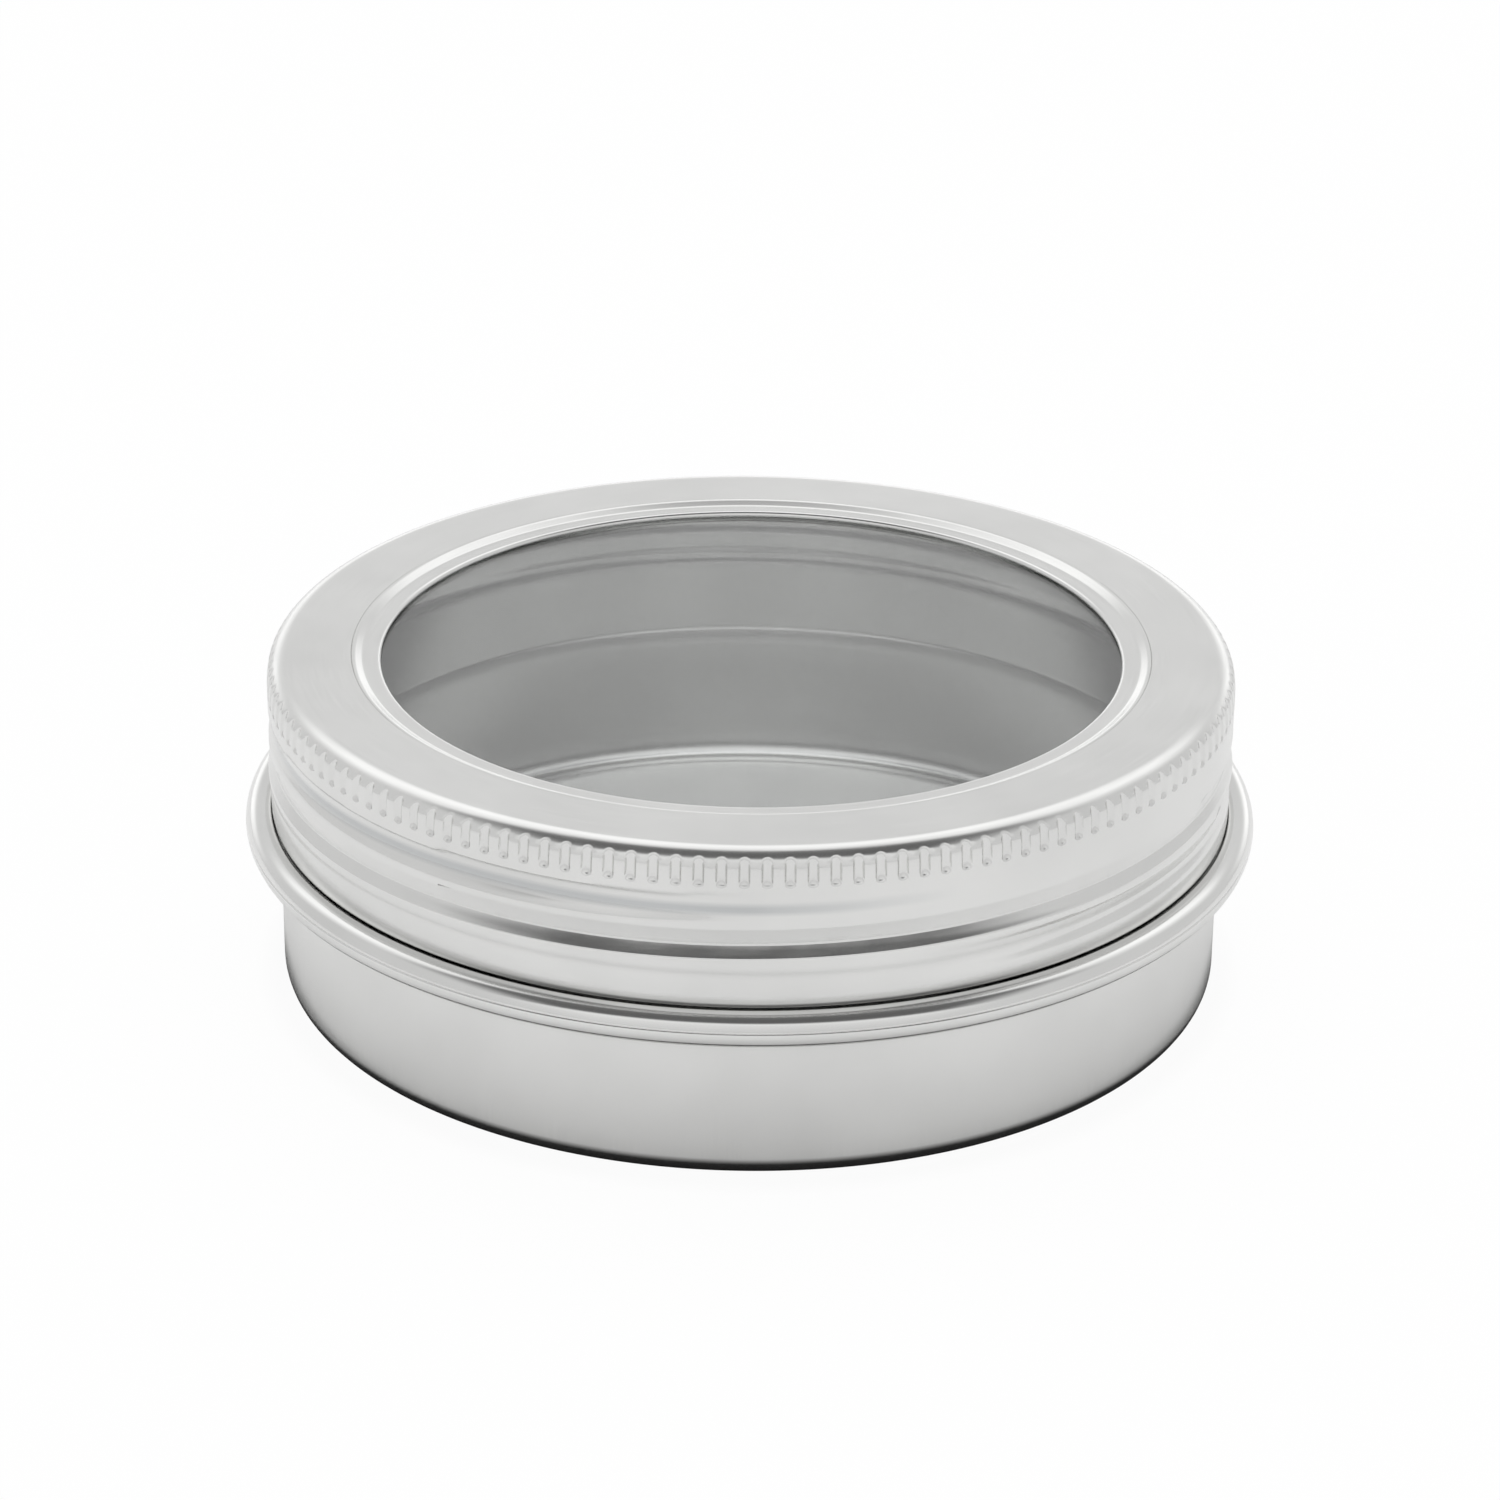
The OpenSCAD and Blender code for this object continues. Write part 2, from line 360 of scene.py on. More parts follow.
def finish_piece(piece, body, node, material, sharp_angle):
    """Shades a piece, gives it its material and seats it on its body."""
    deselect_all()
    piece.select_set(True)
    bpy.context.view_layer.objects.active = piece
    bpy.ops.object.shade_smooth_by_angle(angle=math.radians(sharp_angle))
    piece.data.materials.clear()
    piece.data.materials.append(material)
    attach(piece, body)
    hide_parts(node)


def new_material(name):
    """An empty node material with its output and shader."""
    material = bpy.data.materials.new(name)
    material.use_nodes = True
    nodes = material.node_tree.nodes
    nodes.clear()
    output = nodes.new("ShaderNodeOutputMaterial")
    shader = nodes.new("ShaderNodeBsdfPrincipled")
    material.node_tree.links.new(shader.outputs["BSDF"], output.inputs["Surface"])
    return material, shader, output


def add_noise(tree, vector, scale, detail=3, roughness=0.6):
    noise = tree.nodes.new("ShaderNodeTexNoise")
    noise.inputs["Scale"].default_value = scale
    noise.inputs["Detail"].default_value = detail
    noise.inputs["Roughness"].default_value = roughness
    tree.links.new(vector, noise.inputs["Vector"])
    return noise.outputs["Fac"]


def map_range(tree, value, low, high, to_low, to_high):
    ranged = tree.nodes.new("ShaderNodeMapRange")
    ranged.inputs["From Min"].default_value = low
    ranged.inputs["From Max"].default_value = high
    ranged.inputs["To Min"].default_value = to_low
    ranged.inputs["To Max"].default_value = to_high
    tree.links.new(value, ranged.inputs["Value"])
    return ranged.outputs["Result"]


def math_node(tree, operation, first, second=None):
    """One step of arithmetic on sockets or plain numbers."""
    node = tree.nodes.new("ShaderNodeMath")
    node.operation = operation
    for socket, value in zip(node.inputs, (first, second)):
        if value is None:
            continue
        if isinstance(value, (int, float)):
            socket.default_value = value
        else:
            tree.links.new(value, socket)
    return node.outputs["Value"]


def polar_vector(tree, radius_scale, turn_scale, height_scale):
    """A vector for patterns that follow the turning, with the radius and the height by themselves."""
    place = tree.nodes.new("ShaderNodeTexCoord").outputs["Object"]
    split = tree.nodes.new("ShaderNodeSeparateXYZ")
    tree.links.new(place, split.inputs["Vector"])
    x, y, z = split.outputs
    squares = math_node(tree, "ADD", math_node(tree, "MULTIPLY", x, x), math_node(tree, "MULTIPLY", y, y))
    radius = math_node(tree, "SQRT", squares)
    joined = tree.nodes.new("ShaderNodeCombineXYZ")
    along = math_node(tree, "ADD", math_node(tree, "MULTIPLY", radius, radius_scale),
                      math_node(tree, "MULTIPLY", z, height_scale))
    tree.links.new(along, joined.inputs["X"])
    # The place round the axis is kept as a circle, so the pattern has no seam
    for direction, socket in ((x, "Y"), (y, "Z")):
        around = math_node(tree, "MULTIPLY", math_node(tree, "DIVIDE", direction, radius), turn_scale)
        tree.links.new(around, joined.inputs[socket])
    return joined.outputs["Vector"], radius, z


# Half width of the bead's fine line, as an angle round the bead
CREASE_SPREAD = math.radians(2.2)


def painted_reflection_bands(tree):
    """One soft band above the lid's groove, 0 to 1, where the skirt's colour is darkened as a painted
    reflection that stands in for the dimmer reflection of the floor near the tin.
    """
    thread = bpy.context.scene.tin_thread_sizes
    place = tree.nodes.new("ShaderNodeTexCoord").outputs["Object"]
    split = tree.nodes.new("ShaderNodeSeparateXYZ")
    tree.links.new(place, split.inputs["Vector"])
    x, y, z = split.outputs
    turn = math_node(tree, "ARCTAN2", x, math_node(tree, "MULTIPLY", y, -1.0))
    climb = math_node(tree, "SUBTRACT", z, math_node(tree, "MULTIPLY", turn, thread.pitch / TAU))
    total = None
    # Lower side, upper side, first and last turn of each band
    for low, high, first, last in ((22.8, 24.0, -75, 12),):
        rise = map_range(tree, climb, low * MM, (low + 0.4) * MM, 0, 1)
        fall = map_range(tree, climb, (high - 0.5) * MM, high * MM, 1, 0)
        begin = map_range(tree, turn, math.radians(first - 15), math.radians(first + 15), 0, 1)
        close = map_range(tree, turn, math.radians(last - 12), math.radians(last + 12), 1, 0)
        band = math_node(tree, "MULTIPLY", math_node(tree, "MULTIPLY", rise, fall),
                         math_node(tree, "MULTIPLY", begin, close))
        total = band if total is None else math_node(tree, "ADD", total, band)
    return total


def satin_aluminium(name, scales, bump_strength, brushed_from, brushed_below, with_painted_band=False):
    """Satin aluminium with faint cloudy wear, fine brushing outside a radius and below a height, and, when
    asked, a painted band of darker reflection above the lid's groove.
    """
    colours = bpy.context.scene.tin_finish
    material, shader, _ = new_material(name)
    tree = material.node_tree
    vector, radius, height = polar_vector(tree, *scales)
    outside = map_range(tree, radius, brushed_from, brushed_from + 0.2 * MM, 0, 1)
    low = map_range(tree, height, brushed_below - 0.3 * MM, brushed_below, 1, 0)
    brushed = math_node(tree, "MULTIPLY", outside, low)
    streaks = math_node(tree, "SUBTRACT", add_noise(tree, vector, 1.0, 3, 0.55), 0.5)
    brushing = math_node(tree, "ADD", math_node(tree, "MULTIPLY", streaks, brushed), 0.5)
    place = tree.nodes.new("ShaderNodeTexCoord").outputs["Object"]
    clouds = add_noise(tree, place, 90, 2, 0.5)
    shader.inputs["Metallic"].default_value = 1
    tint = tree.nodes.new("ShaderNodeMix")
    tint.data_type = "RGBA"
    tint.inputs[6].default_value = colours.metal
    tint.inputs[7].default_value = [c * 0.93 for c in colours.metal[:3]] + [1]
    tree.links.new(map_range(tree, clouds, 0.35, 0.75, 0, 1), tint.inputs[0])
    colour = tint.outputs[2]
    # Painted reflection: a blue-grey multiply darkens the colour in the band, standing in for the dimmer
    # reflection there
    if with_painted_band:
        painted_dimming = tree.nodes.new("ShaderNodeMix")
        painted_dimming.data_type = "RGBA"
        painted_dimming.blend_type = "MULTIPLY"
        painted_dimming.inputs[7].default_value = (0.73, 0.745, 0.76, 1)
        tree.links.new(painted_reflection_bands(tree), painted_dimming.inputs[0])
        tree.links.new(colour, painted_dimming.inputs[6])
        colour = painted_dimming.outputs[2]
    tree.links.new(colour, shader.inputs["Base Color"])
    smoother = colours.metal_roughness - 0.04
    rougher = colours.metal_roughness + 0.04
    satin = map_range(tree, brushing, 0.3, 0.7, smoother, rougher)
    # Metal that is not brushed is a little glossier
    satin = math_node(tree, "MULTIPLY", satin, map_range(tree, brushed, 0, 1, 0.7, 1))
    tree.links.new(satin, shader.inputs["Roughness"])
    bump = tree.nodes.new("ShaderNodeBump")
    bump.inputs["Distance"].default_value = 0.01 * MM
    bump.inputs["Strength"].default_value = bump_strength
    tree.links.new(brushing, bump.inputs["Height"])
    tree.links.new(bump.outputs["Normal"], shader.inputs["Normal"])
    return material


def clear_plastic():
    """Clear plastic that lets the lamps through to the inside of the tin."""
    colours = bpy.context.scene.tin_finish
    material, shader, output = new_material("clear_plastic")
    tree = material.node_tree
    shader.inputs["Base Color"].default_value = colours.plastic
    shader.inputs["Roughness"].default_value = 0.02
    shader.inputs["IOR"].default_value = 1.49
    shader.inputs["Transmission Weight"].default_value = 1
    passing = tree.nodes.new("ShaderNodeBsdfTransparent")
    passing.inputs["Color"].default_value = (0.93, 0.94, 0.94, 1)
    path = tree.nodes.new("ShaderNodeLightPath")
    mix = tree.nodes.new("ShaderNodeMixShader")
    tree.links.new(math_node(tree, "MAXIMUM", path.outputs["Is Shadow Ray"], path.outputs["Is Diffuse Ray"]),
                   mix.inputs["Fac"])
    tree.links.new(shader.outputs["BSDF"], mix.inputs[1])
    tree.links.new(passing.outputs["BSDF"], mix.inputs[2])
    tree.links.new(mix.outputs["Shader"], output.inputs["Surface"])
    return material


def liner_foam():
    """Closed-cell foam with fine pores."""
    colours = bpy.context.scene.tin_finish
    material, shader, _ = new_material("liner_foam")
    tree = material.node_tree
    place = tree.nodes.new("ShaderNodeTexCoord").outputs["Object"]
    pores = add_noise(tree, place, 2500, 3, 0.6)
    shader.inputs["Base Color"].default_value = colours.foam
    tree.links.new(map_range(tree, pores, 0.3, 0.7, 0.75, 0.95), shader.inputs["Roughness"])
    bump = tree.nodes.new("ShaderNodeBump")
    bump.inputs["Strength"].default_value = 0.4
    bump.inputs["Distance"].default_value = 0.05 * MM
    tree.links.new(pores, bump.inputs["Height"])
    tree.links.new(bump.outputs["Normal"], shader.inputs["Normal"])
    return material


def bead_outside(sizes, start, end, steps):
    """Outer side of the bead with its fine line, at angles in degrees from start to end."""
    points = []
    for angle in np.linspace(start, end, steps + 1):
        along = math.radians(angle) - sizes.crease_angle
        crease = sizes.crease_depth * math.exp(-(along / CREASE_SPREAD) ** 2)
        points += arc((sizes.bead_centre_r, sizes.bead_z), sizes.bead_r - crease, angle, angle, 0)
    return points


def body_profile(sizes):
    """Closed section of the body from the middle of the base, up outside and down inside."""
    sheet = sizes.sheet
    bend = 0.25 * MM
    slit_edge = 0.06 * MM
    corner = (sizes.wall_r - sizes.corner_r, sizes.corner_r)
    bead = (sizes.bead_centre_r, sizes.bead_z)
    bead_in = sizes.bead_r - sheet
    lip = (sizes.neck_r - sizes.lip_r - 0.05 * MM, sizes.lip_top - sizes.lip_r)
    inner_wall = sizes.wall_r - sheet
    inner_neck = sizes.neck_r - sheet
    bead_low = sizes.bead_z - sizes.bead_r
    fold_z = bead_low + sheet
    neck_end = fold_z + sizes.bead_slit
    groove_z = neck_end + sheet
    outer_join = 180 - math.degrees(math.asin((groove_z - sizes.bead_z) / sizes.bead_r))
    inner_join = 180 - math.degrees(math.asin((neck_end - sizes.bead_z) / bead_in))
    points = [(0, 0), (corner[0] * 0.5, 0)]
    points += arc(corner, sizes.corner_r, -90, 0, 12)
    points += line(points[-1], (sizes.wall_r, bead_low - bend), 8)
    points += arc((sizes.wall_r + bend, bead_low - bend), bend, 180, 90, 4)[1:]
    crease = math.degrees(sizes.crease_angle)
    points += bead_outside(sizes, -90, crease - 16, 12)
    points += bead_outside(sizes, crease - 10, crease + 10, 20)
    points += bead_outside(sizes, crease + 16, outer_join, 26)
    points += arc((sizes.neck_r + 0.15 * MM, groove_z + 0.15 * MM), 0.15 * MM, -90, -180, 3)
    points += line(points[-1], (sizes.neck_r, lip[1] - sizes.lip_r * 0.6), 38)
    points += arc(lip, sizes.lip_r, 0, 235, 16)
    points += line(points[-1], (inner_neck, lip[1] - 0.62 * MM), 2)
    points += line(points[-1], (inner_neck, neck_end + slit_edge), 34)
    points += arc((inner_neck + slit_edge, neck_end + slit_edge), slit_edge, 180, 270, 3)[1:]
    points += arc(bead, bead_in, inner_join, -90, 20)
    points += arc((inner_wall + slit_edge, fold_z - slit_edge), slit_edge, 90, 180, 3)
    points += line(points[-1], (inner_wall, sizes.corner_r), 8)
    points += arc(corner, sizes.corner_r - sheet, 0, -90, 8)[1:]
    points += [(corner[0] * 0.5, sheet), (0, sheet)]
    return points


class TIN_OT_body(bpy.types.Operator):
    """Turns the drawn body with its base, bead, threaded neck and curled lip"""

    bl_idname = "tin.body"
    bl_label = "Tin Body"
    bl_options = {"REGISTER", "UNDO"}

    def execute(self, context):
        sizes = context.scene.tin_body_sizes
        thread = context.scene.tin_thread_sizes
        body = lathe("tin_body_skin", body_profile(sizes), 16)
        radius, turn, z = read_points(body)
        on_neck = (radius > sizes.neck_r - sizes.sheet - 0.05 * MM) & (radius < sizes.neck_r + 0.05 * MM)
        on_neck &= (z > 16.6 * MM) & (z < 24.6 * MM)
        ridge = thread_height(thread, turn, z, thread.neck_z, thread.neck_start, thread.neck_end,
                              thread.flank_w, thread.flank_w)
        ridge *= np.where(radius < sizes.neck_r - sizes.sheet / 2, thread.inside_share, 1)
        radius = np.where(on_neck, radius + ridge * thread.depth, radius)
        write_points(body, radius, turn, z)
        material = satin_aluminium("body_aluminium_satin", (0, 260, 200), 0.10, 38.5 * MM, 12.3 * MM)
        finish_piece(body, "tin", "tin_body", material, 50)
        return {"FINISHED"}


def lid_low_profile(sizes, low, high, flat_end):
    """Open section from the flute band's lower end, round the skirt's edge, up inside to the flat top."""
    inner_r = sizes.skirt_r - sizes.sheet
    half = sizes.sheet / 2
    corner_r = 0.07 * MM
    top = LID_BOX[1].z
    shelf_z = top - sizes.shelf_drop
    shelf_low = shelf_z - sizes.sheet
    inside = (sizes.skirt_r - sizes.shoulder_r, top - sizes.shoulder_r)
    rounding = (sizes.shelf_r + sizes.shelf_round, shelf_z - sizes.shelf_round)
    tilt = math.degrees(sizes.slope_tilt)
    edge_low = (sizes.opening_r, top - sizes.edge_round)
    straight = (sizes.shelf_drop - 2 * sizes.edge_round * (1 - math.cos(sizes.slope_tilt)))
    foot_r = sizes.opening_r - 2 * sizes.edge_round * math.sin(sizes.slope_tilt)
    foot_r -= straight / math.tan(sizes.slope_tilt)
    points = [(sizes.skirt_r, high)]
    for level, steps in ((22 * MM, 12), (20.4 * MM, 12), (19.2 * MM, 20), (low + half, 18)):
        points += line(points[-1], (sizes.skirt_r, level), steps)
    points += arc((sizes.skirt_r - half, low + half), half, 0, -180, 8)[1:]
    points += line(points[-1], (inner_r, inside[1]), 26)
    points += arc(inside, sizes.shoulder_r - sizes.sheet, 0, 90, 6)[1:]
    points += line(points[-1], (sizes.opening_r + half, top - sizes.sheet), 2)
    points += line(points[-1], (foot_r + half, shelf_low), 2)
    points += line(points[-1], (sizes.shelf_r + corner_r, shelf_low), 2)
    points += arc((sizes.shelf_r + corner_r, shelf_low + corner_r), corner_r, -90, -180, 3)[1:]
    points += arc(rounding, sizes.shelf_round, 180, 90, 10)
    points += line(points[-1], (foot_r, shelf_z), 4)
    points += arc((foot_r, shelf_z + sizes.edge_round), sizes.edge_round, -90, tilt - 90, 4)[1:]
    points += arc(edge_low, sizes.edge_round, 90 + tilt, 90, 5)
    points += line(points[-1], (sizes.opening_r + sizes.line_size, top), 1)
    points += [(sizes.opening_r + 1.5 * sizes.line_size, top - sizes.line_size)]
    points += [(sizes.opening_r + 2 * sizes.line_size, top)]
    points += line(points[-1], (flat_end, top), 5)
    return points


def lid_grip_profile(sizes, high, flat_end):
    """Open section of the flat top's edge, the shoulder and the fluted band."""
    top = LID_BOX[1].z
    points = [(flat_end, top)]
    points += arc((sizes.skirt_r - sizes.shoulder_r, top - sizes.shoulder_r), sizes.shoulder_r, 90, 0, 18)
    points += line(points[-1], (sizes.skirt_r, sizes.flute_low + 0.3 * MM), 3)
    points += line(points[-1], (sizes.skirt_r, sizes.flute_low - 0.15 * MM), 6)
    points += line(points[-1], (sizes.skirt_r, high), 1)
    return points


# How deep a flute's round section is, as a share of a half circle's depth
FLUTE_ROUND = 0.75


def press_flute(sector, sizes, steps, flat_end):
    """Gathers a sector's points in its one flute, and moves them in where it is pressed."""
    radius, turn, z = read_points(sector)
    step = 360 / sizes.flute_count / steps
    column = np.rint((turn - turn.min()) / step).astype(int)
    half = sizes.flute_w / 2
    edge = math.pi / sizes.flute_count * sizes.skirt_r
    right = [0, half * 0.3, half * 0.58, half * 0.82, half, edge]
    across = np.array([-place for place in reversed(right)] + right[1:])[column]
    even = (column - steps / 2) * step
    gathered = np.degrees(across / sizes.skirt_r)
    # The rows that are welded to the rest of the lid keep their even steps
    inner = smooth_step((z - sizes.flute_low + 0.3 * MM) / (0.25 * MM))
    inner *= smooth_step((radius - flat_end - 0.1 * MM) / (0.25 * MM))
    middle = math.degrees(sizes.flute_turn)
    turn = middle + even + (gathered - even) * inner
    round_share = np.sqrt(np.clip(1 - (across / half) ** 2, 0, 1))
    end = smooth_step((z - sizes.flute_low) / (0.4 * MM))
    depth = (sizes.flute_depth + sizes.flute_lean * (z - sizes.flute_low)) * end
    floor = sizes.skirt_r - depth + half * FLUTE_ROUND * (1 - round_share)
    write_points(sector, np.where(end > 0, np.minimum(radius, floor), radius), turn, z)


def split_open_edges(piece, radius, level, cuts):
    """Cuts the open edges at a radius and level into shorter ones that lie on the circle."""
    bpy.ops.object.mode_set(mode="EDIT")
    bpy.ops.mesh.select_mode(type="EDGE")
    bpy.ops.mesh.select_all(action="DESELECT")
    mesh = bmesh.from_edit_mesh(piece.data)
    for edge in mesh.edges:
        if edge.is_boundary and max(abs(v.co.z - level) for v in edge.verts) < WELD:
            edge.select_set(True)
    bmesh.update_edit_mesh(piece.data)
    bpy.ops.mesh.subdivide(number_cuts=cuts)
    bpy.ops.object.mode_set(mode="OBJECT")
    here, turn, z = read_points(piece)
    on_rim = (np.abs(here - radius) < 5 * WELD) & (np.abs(z - level) < WELD)
    write_points(piece, np.where(on_rim, radius, here), turn, z)


def skirt_press(sizes, turn, z):
    """How far the skirt is pressed in by its thread and drawn in at its end, less the bulge between them."""
    reach = sizes.side_share + (1 - sizes.side_share) * np.cos(np.radians(turn)) ** 2
    share = thread_height(sizes, turn, z, sizes.lid_z, sizes.lid_start, sizes.lid_end,
                          sizes.upper_w, sizes.lower_w)
    below = smooth_step((z - 17.75 * MM) / (0.7 * MM)) * smooth_step((19.9 * MM - z) / (0.6 * MM))
    draw = np.maximum(sizes.draw_z - z, 0) * math.tan(sizes.draw_tilt)
    return sizes.lid_depth * reach * share - sizes.bulge * below * (1 - share) + draw


class TIN_OT_lid(bpy.types.Operator):
    """Turns the lid, presses its flutes and rolls its thread"""

    bl_idname = "tin.lid"
    bl_label = "Lid Shell"
    bl_options = {"REGISTER", "UNDO"}

    def execute(self, context):
        sizes = context.scene.tin_lid_sizes
        thread = context.scene.tin_thread_sizes
        low = LID_BOX[0].z - 0.05 * MM
        top = LID_BOX[1].z
        high = sizes.flute_low - 0.35 * MM
        flat_end = sizes.skirt_r - sizes.shoulder_r - 0.3 * MM
        lid = lathe("lid_skin", lid_low_profile(sizes, low, high, flat_end), 15)
        radius, turn, z = read_points(lid)
        on_skirt = (radius > sizes.skirt_r - sizes.sheet - 0.05 * MM) & (z < high - 0.02 * MM)
        # Rows that rise with the thread at the front keep its edge sharp
        lean = smooth_step((z - low - 1.5 * MM) / (2 * MM)) * smooth_step((high - z) / (3 * MM))
        z = np.where(on_skirt, z + lean * thread.pitch / TAU * np.sin(np.radians(turn)), z)
        write_points(lid, np.where(on_skirt, radius - skirt_press(thread, turn, z), radius), turn, z)
        flute_steps = 10
        grip = turn_sector("grip", lid_grip_profile(sizes, high, flat_end), flute_steps, sizes.flute_count)
        press_flute(grip, sizes, flute_steps, flat_end)
        repeat_sector(grip, sizes.flute_count)
        cuts = flute_steps * sizes.flute_count // 360 - 1
        for rim_r, level in ((sizes.skirt_r, high), (flat_end, top)):
            deselect_all()
            context.view_layer.objects.active = lid
            split_open_edges(lid, rim_r, level, cuts)
        deselect_all()
        grip.select_set(True)
        lid.select_set(True)
        context.view_layer.objects.active = lid
        bpy.ops.object.join()
        bpy.ops.object.mode_set(mode="EDIT")
        bpy.ops.mesh.select_all(action="SELECT")
        bpy.ops.mesh.remove_doubles(threshold=5 * WELD)
        bpy.ops.mesh.normals_make_consistent(inside=False)
        bpy.ops.object.mode_set(mode="OBJECT")
        # The last argument adds the painted reflection band to the skirt's colour
        material = satin_aluminium("lid_aluminium_satin", (9000, 8, 9000), 0.05, 30 * MM, 40 * MM, True)
        finish_piece(lid, "lid", "lid_shell", material, 50)
        return {"FINISHED"}


class TIN_OT_window(bpy.types.Operator):
    """Makes the clear window with its eased edge"""

    bl_idname = "tin.window"
    bl_label = "Window"
    bl_options = {"REGISTER", "UNDO"}

    def execute(self, context):
        low, high = WINDOW_BOX
        edge = 0.08 * MM
        radius = high.x
        flat = radius - 4 * edge
        profile = [(0, low.z), (flat, low.z), (radius - edge, low.z)]
        profile += arc((radius - edge, low.z + edge), edge, -90, 0, 3)[1:]
        profile += arc((radius - edge, high.z - edge), edge, 0, 90, 3)
        profile += [(flat, high.z), (0, high.z)]
        window = lathe("window_pane", profile, 15)
        finish_piece(window, "lid", "window", clear_plastic(), 30)
        return {"FINISHED"}


class TIN_OT_liner(bpy.types.Operator):
    """Makes the foam liner ring with its soft edges"""

    bl_idname = "tin.liner"
    bl_label = "Liner"
    bl_options = {"REGISTER", "UNDO"}

    def execute(self, context):
        low, high = LINER_BOX
        inner = 34.6 * MM
        edge = 0.15 * MM
        profile = arc((inner + edge, low.z + edge), edge, 180, 270, 3)
        profile += arc((high.x - edge, low.z + edge), edge, 270, 360, 3)
        profile += arc((high.x - edge, high.z - edge), edge, 0, 90, 3)
        profile += arc((inner + edge, high.z - edge), edge, 90, 180, 3)
        profile.append(profile[0])
        liner = lathe("liner_ring", profile, 10)
        finish_piece(liner, "liner", "liner", liner_foam(), 40)
        return {"FINISHED"}


# Brightness of the soft box over the tin, where white is 1
BRIGHTEST = 1.25


def build_world(context):
    """A white surround to sight, with a dark patch above the camera for the metal to mirror."""
    world = bpy.data.worlds.new("studio")
    context.scene.world = world
    world.use_nodes = True
    tree = world.node_tree
    tree.nodes.clear()
    output = tree.nodes.new("ShaderNodeOutputWorld")
    direction = tree.nodes.new("ShaderNodeTexCoord").outputs["Generated"]
    split = tree.nodes.new("ShaderNodeSeparateXYZ")
    tree.links.new(direction, split.inputs["Vector"])
    x, y, z = split.outputs
    front = math_node(tree, "MULTIPLY", y, -1.0)
    height = math_node(tree, "DIVIDE", math_node(tree, "ARCTAN2", z, front), math.pi)
    ramp = tree.nodes.new("ShaderNodeValToRGB")
    # Height over the front horizon in degrees, through the zenith to the back horizon, and brightness
    bands = [(0, 0.72), (44, 0.86), (49, 1.0), (53, 0.95), (61, 0.13), (75, 0.13), (98, 0.16), (108, 1.0), (130, 1.25), (142, 1.2),
             (149, 0.72), (160, 0.72), (167, 1.25), (180, 1.25)]
    stops = [(rise / 180, level / BRIGHTEST) for rise, level in bands]
    while len(ramp.color_ramp.elements) > 1:
        ramp.color_ramp.elements.remove(ramp.color_ramp.elements[-1])
    for index, (place, level) in enumerate(stops):
        stop = ramp.color_ramp.elements[0] if index == 0 else ramp.color_ramp.elements.new(place)
        stop.position = place
        stop.color = (level, level, level, 1)
    tree.links.new(height, ramp.inputs["Fac"])
    side = math_node(tree, "ABSOLUTE", x)
    beside = map_range(tree, side, 0.50, 0.75, 0, 1)
    mix = tree.nodes.new("ShaderNodeMix")
    mix.data_type = "RGBA"
    tree.links.new(beside, mix.inputs[0])
    tree.links.new(ramp.outputs["Color"], mix.inputs[6])
    mix.inputs[7].default_value = (0.72 / BRIGHTEST, 0.72 / BRIGHTEST, 0.72 / BRIGHTEST, 1)
    light = tree.nodes.new("ShaderNodeBackground")
    light.inputs["Strength"].default_value = BRIGHTEST
    tree.links.new(mix.outputs[2], light.inputs["Color"])
    seen = tree.nodes.new("ShaderNodeBackground")
    seen.inputs["Color"].default_value = (1, 1, 1, 1)
    path = tree.nodes.new("ShaderNodeLightPath")
    choose = tree.nodes.new("ShaderNodeMixShader")
    tree.links.new(path.outputs["Is Camera Ray"], choose.inputs["Fac"])
    tree.links.new(light.outputs["Background"], choose.inputs[1])
    tree.links.new(seen.outputs["Background"], choose.inputs[2])
    tree.links.new(choose.outputs["Shader"], output.inputs["Surface"])


def floor_material():
    """White floor that shows as white to sight, with a painted contact shadow in its colour round the tin's
    foot.
    """
    material, shader, output = new_material("white_floor")
    tree = material.node_tree
    _, radius, _ = polar_vector(tree, 1, 1, 1)
    # Painted contact shadow: the colour is near black under the tin's foot and fades to white just outside
    # it, so the metal mirrors a dark contact
    painted_contact_shadow = map_range(tree, radius, 39.2 * MM, 41.2 * MM, 0.03, 0.86)
    tree.links.new(painted_contact_shadow, shader.inputs["Base Color"])
    shader.inputs["Roughness"].default_value = 0.9
    glow = tree.nodes.new("ShaderNodeEmission")
    path = tree.nodes.new("ShaderNodeLightPath")
    mix = tree.nodes.new("ShaderNodeMixShader")
    tree.links.new(math_node(tree, "MULTIPLY", path.outputs["Is Camera Ray"], 0.96), mix.inputs["Fac"])
    tree.links.new(shader.outputs["BSDF"], mix.inputs[1])
    tree.links.new(glow.outputs["Emission"], mix.inputs[2])
    tree.links.new(mix.outputs["Shader"], output.inputs["Surface"])
    return material


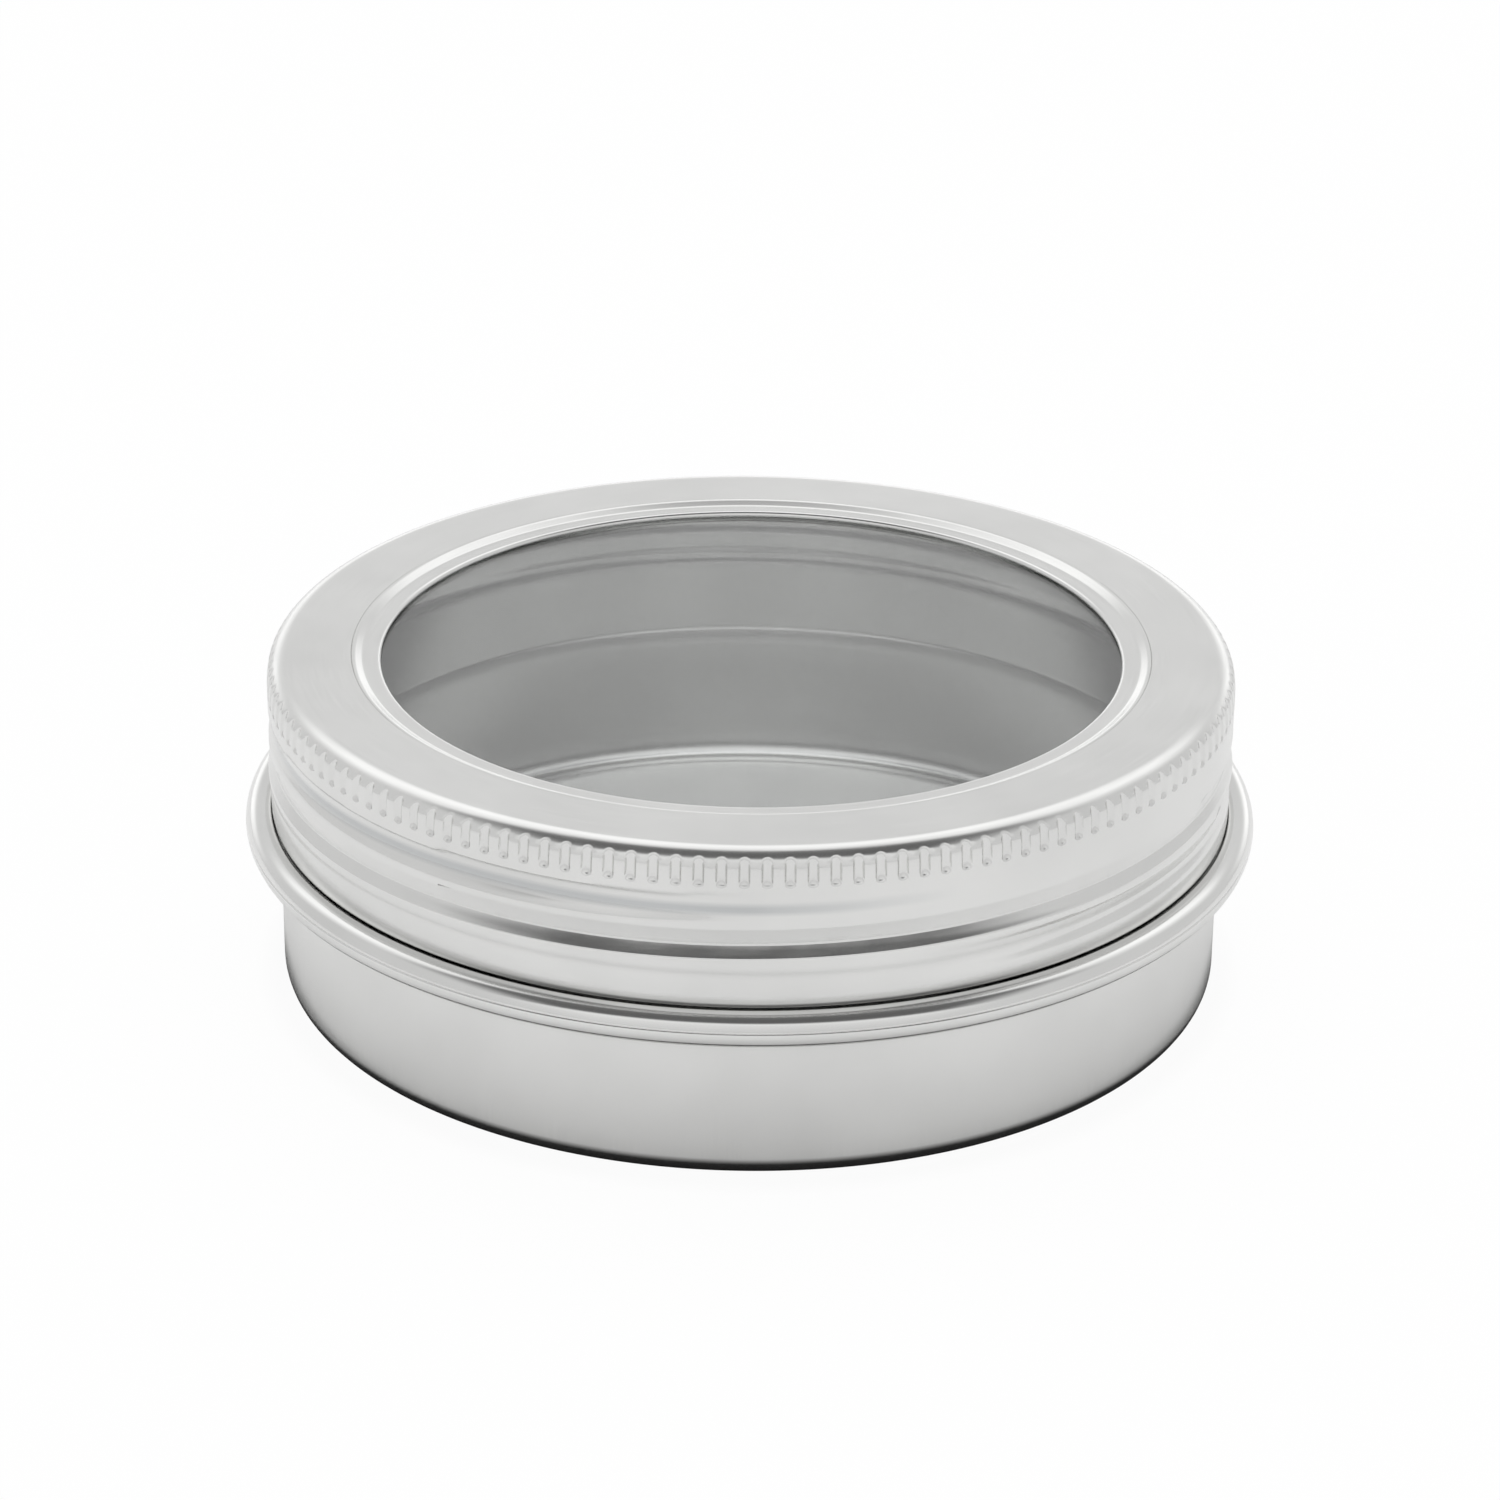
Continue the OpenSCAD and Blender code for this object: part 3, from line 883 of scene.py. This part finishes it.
class TIN_OT_stage(bpy.types.Operator):
    """Sets the floor, the light and the camera"""

    bl_idname = "tin.stage"
    bl_label = "Stage"
    bl_options = {"REGISTER", "UNDO"}

    def execute(self, context):
        deselect_all()
        bpy.ops.mesh.primitive_circle_add(vertices=96, radius=4, fill_type="NGON", location=(0, 0, -0.00002))
        floor = context.active_object
        floor.name = "floor"
        bpy.ops.object.transform_apply(location=True)
        floor.data.materials.append(floor_material())
        build_world(context)
        lamp_data = bpy.data.lights.new("top_lamp", "AREA")
        lamp_data.shape = "DISK"
        lamp_data.size = 1.2
        lamp_data.energy = 4.2
        lamp = bpy.data.objects.new("top_lamp", lamp_data)
        lamp.location = (0, 0.1, 0.9)
        lamp.visible_glossy = False
        context.collection.objects.link(lamp)
        camera_data = bpy.data.cameras.new("camera")
        camera = bpy.data.objects.new("camera", camera_data)
        context.collection.objects.link(camera)
        rise = CAMERA_RISE
        back = Vector((0, -math.cos(rise), math.sin(rise)))
        camera.location = Vector((0, 0, CAMERA_TARGET_Z)) + back * CAMERA_DISTANCE
        facing = Matrix.Rotation(math.pi / 2 - rise, 3, "X") @ Matrix.Rotation(CAMERA_ROLL, 3, "Z")
        camera.rotation_euler = facing.to_euler()
        camera_data.sensor_width = SENSOR
        camera_data.lens = SENSOR * FOCAL_PX / PICTURE_PX
        camera_data.shift_x = (PICTURE_PX / 2 - AXIS_PX[0]) / PICTURE_PX
        camera_data.shift_y = (AXIS_PX[1] - PICTURE_PX / 2) / PICTURE_PX
        camera_data.clip_start = 0.01
        context.scene.camera = camera
        context.scene.view_settings.view_transform = "Standard"
        return {"FINISHED"}


class TIN_PT_panel(bpy.types.Panel):
    """Lists the pieces of the tin"""

    bl_idname = "TIN_PT_panel"
    bl_label = "Window Lid Tin"
    bl_space_type = "VIEW_3D"
    bl_region_type = "UI"
    bl_category = "Tin"

    def draw(self, context):
        for step in STEPS:
            self.layout.operator(step.bl_idname)
        for name, group in GROUPS.items():
            for key in group.__annotations__:
                self.layout.prop(getattr(context.scene, name), key)


STEPS = (TIN_OT_body, TIN_OT_lid, TIN_OT_window, TIN_OT_liner, TIN_OT_stage)


def register():
    for made in (*GROUPS.values(), *STEPS, TIN_PT_panel):
        bpy.utils.register_class(made)
    for name, group in GROUPS.items():
        setattr(bpy.types.Scene, name, bpy.props.PointerProperty(type=group))


def unregister():
    for name in GROUPS:
        delattr(bpy.types.Scene, name)
    for made in reversed((*GROUPS.values(), *STEPS, TIN_PT_panel)):
        bpy.utils.unregister_class(made)


def main():
    register()
    bpy.ops.tin.stage()
    bpy.ops.tin.body()
    bpy.ops.tin.lid()
    bpy.ops.tin.window()
    bpy.ops.tin.liner()


if __name__ == "__main__":
    main()
